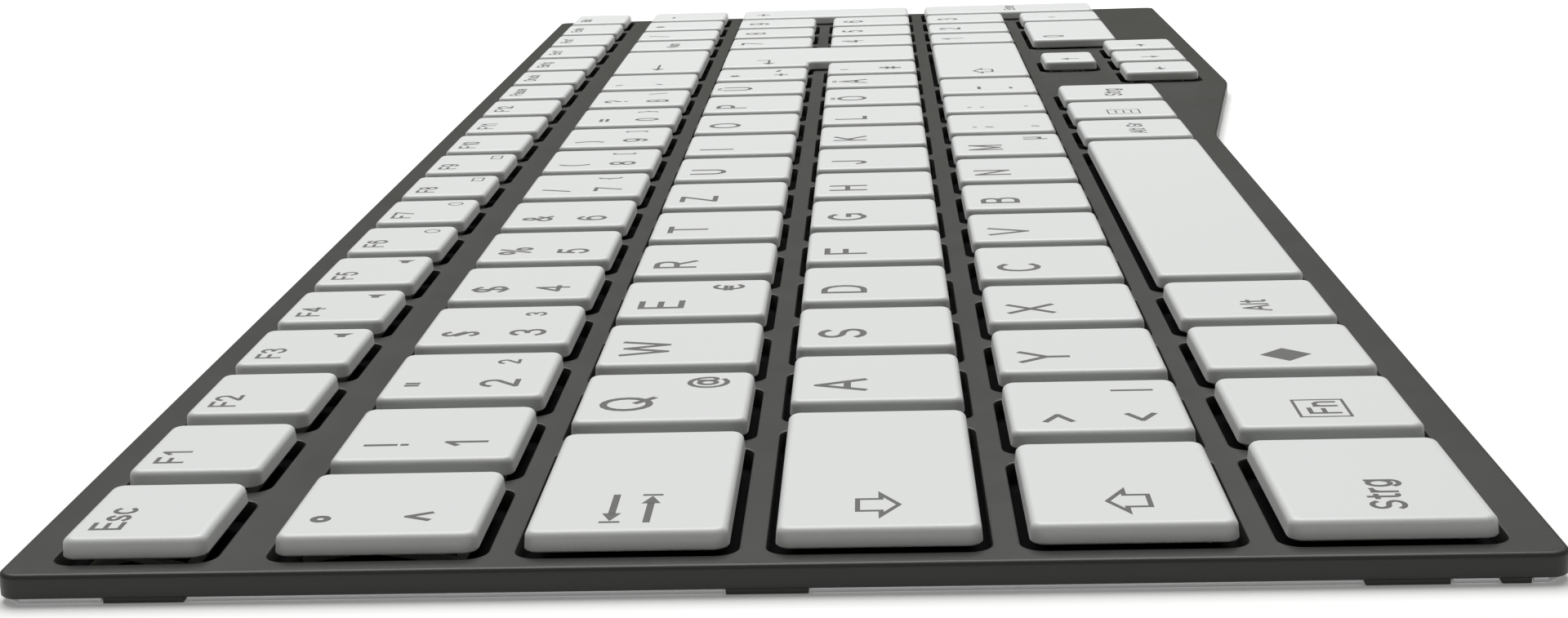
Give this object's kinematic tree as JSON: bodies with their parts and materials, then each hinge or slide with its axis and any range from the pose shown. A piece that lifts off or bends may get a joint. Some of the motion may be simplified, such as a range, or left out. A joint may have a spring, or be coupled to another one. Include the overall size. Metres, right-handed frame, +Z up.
{
  "type": "laptop replacement keyboard",
  "caption": "Flat laptop keyboard: pale low keycaps on spring guides, each in its own opening of a dark moulded bezel, with arrow keys in a stepped front edge and a number pad.",
  "frame": {"origin": "middle of the footprint, on the plane that the base plate rests on", "axes": "+X along the key rows towards the number pad, +Y towards the function row, +Z up through the keycaps"},
  "size_m": [0.342, 0.1226, 0.004],
  "materials": {
    "bezel_plastic": "fine satin grain",
    "keycap_plastic": "satin, fine grain",
    "base_sheet": "plain sheet",
    "switch_film": "smooth film",
    "dome_rubber": "matte",
    "lever_plastic": "plain"
  },
  "bodies": {
    "keyboard_base": {"bezel_frame": "bezel_plastic", "base_plate": "base_sheet", "membrane": "switch_film", "rubber_domes": "dome_rubber", "scissor_levers": "lever_plastic", "function_row_keys": "keycap_plastic", "number_row_keys": "keycap_plastic", "numeric_pad_keys": "keycap_plastic"},
    "key_a": {"key_a": "keycap_plastic"},
    "key_a_umlaut": {"key_a_umlaut": "keycap_plastic"},
    "key_alt": {"key_alt": "keycap_plastic"},
    "key_alt_gr": {"key_alt_gr": "keycap_plastic"},
    "key_arrow_down": {"key_arrow_down": "keycap_plastic"},
    "key_arrow_left": {"key_arrow_left": "keycap_plastic"},
    "key_arrow_right": {"key_arrow_right": "keycap_plastic"},
    "key_arrow_up": {"key_arrow_up": "keycap_plastic"},
    "key_b": {"key_b": "keycap_plastic"},
    "key_c": {"key_c": "keycap_plastic"},
    "key_caps_lock": {"key_caps_lock": "keycap_plastic"},
    "key_comma": {"key_comma": "keycap_plastic"},
    "key_d": {"key_d": "keycap_plastic"},
    "key_e": {"key_e": "keycap_plastic"},
    "key_enter": {"key_enter": "keycap_plastic"},
    "key_f": {"key_f": "keycap_plastic"},
    "key_fn": {"key_fn": "keycap_plastic"},
    "key_g": {"key_g": "keycap_plastic"},
    "key_h": {"key_h": "keycap_plastic"},
    "key_hash": {"key_hash": "keycap_plastic"},
    "key_i": {"key_i": "keycap_plastic"},
    "key_j": {"key_j": "keycap_plastic"},
    "key_k": {"key_k": "keycap_plastic"},
    "key_l": {"key_l": "keycap_plastic"},
    "key_left_ctrl": {"key_left_ctrl": "keycap_plastic"},
    "key_left_shift": {"key_left_shift": "keycap_plastic"},
    "key_less_than": {"key_less_than": "keycap_plastic"},
    "key_m": {"key_m": "keycap_plastic"},
    "key_menu": {"key_menu": "keycap_plastic"},
    "key_minus": {"key_minus": "keycap_plastic"},
    "key_n": {"key_n": "keycap_plastic"},
    "key_o": {"key_o": "keycap_plastic"},
    "key_o_umlaut": {"key_o_umlaut": "keycap_plastic"},
    "key_p": {"key_p": "keycap_plastic"},
    "key_period": {"key_period": "keycap_plastic"},
    "key_plus": {"key_plus": "keycap_plastic"},
    "key_q": {"key_q": "keycap_plastic"},
    "key_r": {"key_r": "keycap_plastic"},
    "key_right_ctrl": {"key_right_ctrl": "keycap_plastic"},
    "key_right_shift": {"key_right_shift": "keycap_plastic"},
    "key_s": {"key_s": "keycap_plastic"},
    "key_space": {"key_space": "keycap_plastic"},
    "key_system": {"key_system": "keycap_plastic"},
    "key_t": {"key_t": "keycap_plastic"},
    "key_tab": {"key_tab": "keycap_plastic"},
    "key_u": {"key_u": "keycap_plastic"},
    "key_u_umlaut": {"key_u_umlaut": "keycap_plastic"},
    "key_v": {"key_v": "keycap_plastic"},
    "key_w": {"key_w": "keycap_plastic"},
    "key_x": {"key_x": "keycap_plastic"},
    "key_y": {"key_y": "keycap_plastic"},
    "key_z": {"key_z": "keycap_plastic"}
  },
  "joints": [
    {"name": "key_a_press", "type": "slide", "parent": "keyboard_base", "child": "key_a", "axis": [0, 0, -1], "range_m": [0, 0.0017], "stiffness_N_per_m": 250, "deforming": ["rubber_domes", "scissor_levers"]},
    {"name": "key_a_umlaut_press", "type": "slide", "parent": "keyboard_base", "child": "key_a_umlaut", "axis": [0, 0, -1], "range_m": [0, 0.0017], "stiffness_N_per_m": 250, "deforming": ["rubber_domes", "scissor_levers"]},
    {"name": "key_alt_press", "type": "slide", "parent": "keyboard_base", "child": "key_alt", "axis": [0, 0, -1], "range_m": [0, 0.0017], "stiffness_N_per_m": 250, "deforming": ["rubber_domes", "scissor_levers"]},
    {"name": "key_alt_gr_press", "type": "slide", "parent": "keyboard_base", "child": "key_alt_gr", "axis": [0, 0, -1], "range_m": [0, 0.0017], "stiffness_N_per_m": 250, "deforming": ["rubber_domes", "scissor_levers"]},
    {"name": "key_arrow_down_press", "type": "slide", "parent": "keyboard_base", "child": "key_arrow_down", "axis": [0, 0, -1], "range_m": [0, 0.0017], "stiffness_N_per_m": 250, "deforming": ["rubber_domes", "scissor_levers"]},
    {"name": "key_arrow_left_press", "type": "slide", "parent": "keyboard_base", "child": "key_arrow_left", "axis": [0, 0, -1], "range_m": [0, 0.0017], "stiffness_N_per_m": 250, "deforming": ["rubber_domes", "scissor_levers"]},
    {"name": "key_arrow_right_press", "type": "slide", "parent": "keyboard_base", "child": "key_arrow_right", "axis": [0, 0, -1], "range_m": [0, 0.0017], "stiffness_N_per_m": 250, "deforming": ["rubber_domes", "scissor_levers"]},
    {"name": "key_arrow_up_press", "type": "slide", "parent": "keyboard_base", "child": "key_arrow_up", "axis": [0, 0, -1], "range_m": [0, 0.0017], "stiffness_N_per_m": 250, "deforming": ["rubber_domes", "scissor_levers"]},
    {"name": "key_b_press", "type": "slide", "parent": "keyboard_base", "child": "key_b", "axis": [0, 0, -1], "range_m": [0, 0.0017], "stiffness_N_per_m": 250, "deforming": ["rubber_domes", "scissor_levers"]},
    {"name": "key_c_press", "type": "slide", "parent": "keyboard_base", "child": "key_c", "axis": [0, 0, -1], "range_m": [0, 0.0017], "stiffness_N_per_m": 250, "deforming": ["rubber_domes", "scissor_levers"]},
    {"name": "key_caps_lock_press", "type": "slide", "parent": "keyboard_base", "child": "key_caps_lock", "axis": [0, 0, -1], "range_m": [0, 0.0017], "stiffness_N_per_m": 250, "deforming": ["rubber_domes", "scissor_levers"]},
    {"name": "key_comma_press", "type": "slide", "parent": "keyboard_base", "child": "key_comma", "axis": [0, 0, -1], "range_m": [0, 0.0017], "stiffness_N_per_m": 250, "deforming": ["rubber_domes", "scissor_levers"]},
    {"name": "key_d_press", "type": "slide", "parent": "keyboard_base", "child": "key_d", "axis": [0, 0, -1], "range_m": [0, 0.0017], "stiffness_N_per_m": 250, "deforming": ["rubber_domes", "scissor_levers"]},
    {"name": "key_e_press", "type": "slide", "parent": "keyboard_base", "child": "key_e", "axis": [0, 0, -1], "range_m": [0, 0.0017], "stiffness_N_per_m": 250, "deforming": ["rubber_domes", "scissor_levers"]},
    {"name": "key_enter_press", "type": "slide", "parent": "keyboard_base", "child": "key_enter", "axis": [0, 0, -1], "range_m": [0, 0.0017], "stiffness_N_per_m": 250, "deforming": ["rubber_domes", "scissor_levers"]},
    {"name": "key_f_press", "type": "slide", "parent": "keyboard_base", "child": "key_f", "axis": [0, 0, -1], "range_m": [0, 0.0017], "stiffness_N_per_m": 250, "deforming": ["rubber_domes", "scissor_levers"]},
    {"name": "key_fn_press", "type": "slide", "parent": "keyboard_base", "child": "key_fn", "axis": [0, 0, -1], "range_m": [0, 0.0017], "stiffness_N_per_m": 250, "deforming": ["rubber_domes", "scissor_levers"]},
    {"name": "key_g_press", "type": "slide", "parent": "keyboard_base", "child": "key_g", "axis": [0, 0, -1], "range_m": [0, 0.0017], "stiffness_N_per_m": 250, "deforming": ["rubber_domes", "scissor_levers"]},
    {"name": "key_h_press", "type": "slide", "parent": "keyboard_base", "child": "key_h", "axis": [0, 0, -1], "range_m": [0, 0.0017], "stiffness_N_per_m": 250, "deforming": ["rubber_domes", "scissor_levers"]},
    {"name": "key_hash_press", "type": "slide", "parent": "keyboard_base", "child": "key_hash", "axis": [0, 0, -1], "range_m": [0, 0.0017], "stiffness_N_per_m": 250, "deforming": ["rubber_domes", "scissor_levers"]},
    {"name": "key_i_press", "type": "slide", "parent": "keyboard_base", "child": "key_i", "axis": [0, 0, -1], "range_m": [0, 0.0017], "stiffness_N_per_m": 250, "deforming": ["rubber_domes", "scissor_levers"]},
    {"name": "key_j_press", "type": "slide", "parent": "keyboard_base", "child": "key_j", "axis": [0, 0, -1], "range_m": [0, 0.0017], "stiffness_N_per_m": 250, "deforming": ["rubber_domes", "scissor_levers"]},
    {"name": "key_k_press", "type": "slide", "parent": "keyboard_base", "child": "key_k", "axis": [0, 0, -1], "range_m": [0, 0.0017], "stiffness_N_per_m": 250, "deforming": ["rubber_domes", "scissor_levers"]},
    {"name": "key_l_press", "type": "slide", "parent": "keyboard_base", "child": "key_l", "axis": [0, 0, -1], "range_m": [0, 0.0017], "stiffness_N_per_m": 250, "deforming": ["rubber_domes", "scissor_levers"]},
    {"name": "key_left_ctrl_press", "type": "slide", "parent": "keyboard_base", "child": "key_left_ctrl", "axis": [0, 0, -1], "range_m": [0, 0.0017], "stiffness_N_per_m": 250, "deforming": ["rubber_domes", "scissor_levers"]},
    {"name": "key_left_shift_press", "type": "slide", "parent": "keyboard_base", "child": "key_left_shift", "axis": [0, 0, -1], "range_m": [0, 0.0017], "stiffness_N_per_m": 250, "deforming": ["rubber_domes", "scissor_levers"]},
    {"name": "key_less_than_press", "type": "slide", "parent": "keyboard_base", "child": "key_less_than", "axis": [0, 0, -1], "range_m": [0, 0.0017], "stiffness_N_per_m": 250, "deforming": ["rubber_domes", "scissor_levers"]},
    {"name": "key_m_press", "type": "slide", "parent": "keyboard_base", "child": "key_m", "axis": [0, 0, -1], "range_m": [0, 0.0017], "stiffness_N_per_m": 250, "deforming": ["rubber_domes", "scissor_levers"]},
    {"name": "key_menu_press", "type": "slide", "parent": "keyboard_base", "child": "key_menu", "axis": [0, 0, -1], "range_m": [0, 0.0017], "stiffness_N_per_m": 250, "deforming": ["rubber_domes", "scissor_levers"]},
    {"name": "key_minus_press", "type": "slide", "parent": "keyboard_base", "child": "key_minus", "axis": [0, 0, -1], "range_m": [0, 0.0017], "stiffness_N_per_m": 250, "deforming": ["rubber_domes", "scissor_levers"]},
    {"name": "key_n_press", "type": "slide", "parent": "keyboard_base", "child": "key_n", "axis": [0, 0, -1], "range_m": [0, 0.0017], "stiffness_N_per_m": 250, "deforming": ["rubber_domes", "scissor_levers"]},
    {"name": "key_o_press", "type": "slide", "parent": "keyboard_base", "child": "key_o", "axis": [0, 0, -1], "range_m": [0, 0.0017], "stiffness_N_per_m": 250, "deforming": ["rubber_domes", "scissor_levers"]},
    {"name": "key_o_umlaut_press", "type": "slide", "parent": "keyboard_base", "child": "key_o_umlaut", "axis": [0, 0, -1], "range_m": [0, 0.0017], "stiffness_N_per_m": 250, "deforming": ["rubber_domes", "scissor_levers"]},
    {"name": "key_p_press", "type": "slide", "parent": "keyboard_base", "child": "key_p", "axis": [0, 0, -1], "range_m": [0, 0.0017], "stiffness_N_per_m": 250, "deforming": ["rubber_domes", "scissor_levers"]},
    {"name": "key_period_press", "type": "slide", "parent": "keyboard_base", "child": "key_period", "axis": [0, 0, -1], "range_m": [0, 0.0017], "stiffness_N_per_m": 250, "deforming": ["rubber_domes", "scissor_levers"]},
    {"name": "key_plus_press", "type": "slide", "parent": "keyboard_base", "child": "key_plus", "axis": [0, 0, -1], "range_m": [0, 0.0017], "stiffness_N_per_m": 250, "deforming": ["rubber_domes", "scissor_levers"]},
    {"name": "key_q_press", "type": "slide", "parent": "keyboard_base", "child": "key_q", "axis": [0, 0, -1], "range_m": [0, 0.0017], "stiffness_N_per_m": 250, "deforming": ["rubber_domes", "scissor_levers"]},
    {"name": "key_r_press", "type": "slide", "parent": "keyboard_base", "child": "key_r", "axis": [0, 0, -1], "range_m": [0, 0.0017], "stiffness_N_per_m": 250, "deforming": ["rubber_domes", "scissor_levers"]},
    {"name": "key_right_ctrl_press", "type": "slide", "parent": "keyboard_base", "child": "key_right_ctrl", "axis": [0, 0, -1], "range_m": [0, 0.0017], "stiffness_N_per_m": 250, "deforming": ["rubber_domes", "scissor_levers"]},
    {"name": "key_right_shift_press", "type": "slide", "parent": "keyboard_base", "child": "key_right_shift", "axis": [0, 0, -1], "range_m": [0, 0.0017], "stiffness_N_per_m": 250, "deforming": ["rubber_domes", "scissor_levers"]},
    {"name": "key_s_press", "type": "slide", "parent": "keyboard_base", "child": "key_s", "axis": [0, 0, -1], "range_m": [0, 0.0017], "stiffness_N_per_m": 250, "deforming": ["rubber_domes", "scissor_levers"]},
    {"name": "key_space_press", "type": "slide", "parent": "keyboard_base", "child": "key_space", "axis": [0, 0, -1], "range_m": [0, 0.0017], "stiffness_N_per_m": 250, "deforming": ["rubber_domes", "scissor_levers"]},
    {"name": "key_system_press", "type": "slide", "parent": "keyboard_base", "child": "key_system", "axis": [0, 0, -1], "range_m": [0, 0.0017], "stiffness_N_per_m": 250, "deforming": ["rubber_domes", "scissor_levers"]},
    {"name": "key_t_press", "type": "slide", "parent": "keyboard_base", "child": "key_t", "axis": [0, 0, -1], "range_m": [0, 0.0017], "stiffness_N_per_m": 250, "deforming": ["rubber_domes", "scissor_levers"]},
    {"name": "key_tab_press", "type": "slide", "parent": "keyboard_base", "child": "key_tab", "axis": [0, 0, -1], "range_m": [0, 0.0017], "stiffness_N_per_m": 250, "deforming": ["rubber_domes", "scissor_levers"]},
    {"name": "key_u_press", "type": "slide", "parent": "keyboard_base", "child": "key_u", "axis": [0, 0, -1], "range_m": [0, 0.0017], "stiffness_N_per_m": 250, "deforming": ["rubber_domes", "scissor_levers"]},
    {"name": "key_u_umlaut_press", "type": "slide", "parent": "keyboard_base", "child": "key_u_umlaut", "axis": [0, 0, -1], "range_m": [0, 0.0017], "stiffness_N_per_m": 250, "deforming": ["rubber_domes", "scissor_levers"]},
    {"name": "key_v_press", "type": "slide", "parent": "keyboard_base", "child": "key_v", "axis": [0, 0, -1], "range_m": [0, 0.0017], "stiffness_N_per_m": 250, "deforming": ["rubber_domes", "scissor_levers"]},
    {"name": "key_w_press", "type": "slide", "parent": "keyboard_base", "child": "key_w", "axis": [0, 0, -1], "range_m": [0, 0.0017], "stiffness_N_per_m": 250, "deforming": ["rubber_domes", "scissor_levers"]},
    {"name": "key_x_press", "type": "slide", "parent": "keyboard_base", "child": "key_x", "axis": [0, 0, -1], "range_m": [0, 0.0017], "stiffness_N_per_m": 250, "deforming": ["rubber_domes", "scissor_levers"]},
    {"name": "key_y_press", "type": "slide", "parent": "keyboard_base", "child": "key_y", "axis": [0, 0, -1], "range_m": [0, 0.0017], "stiffness_N_per_m": 250, "deforming": ["rubber_domes", "scissor_levers"]},
    {"name": "key_z_press", "type": "slide", "parent": "keyboard_base", "child": "key_z", "axis": [0, 0, -1], "range_m": [0, 0.0017], "stiffness_N_per_m": 250, "deforming": ["rubber_domes", "scissor_levers"]}
  ]
}
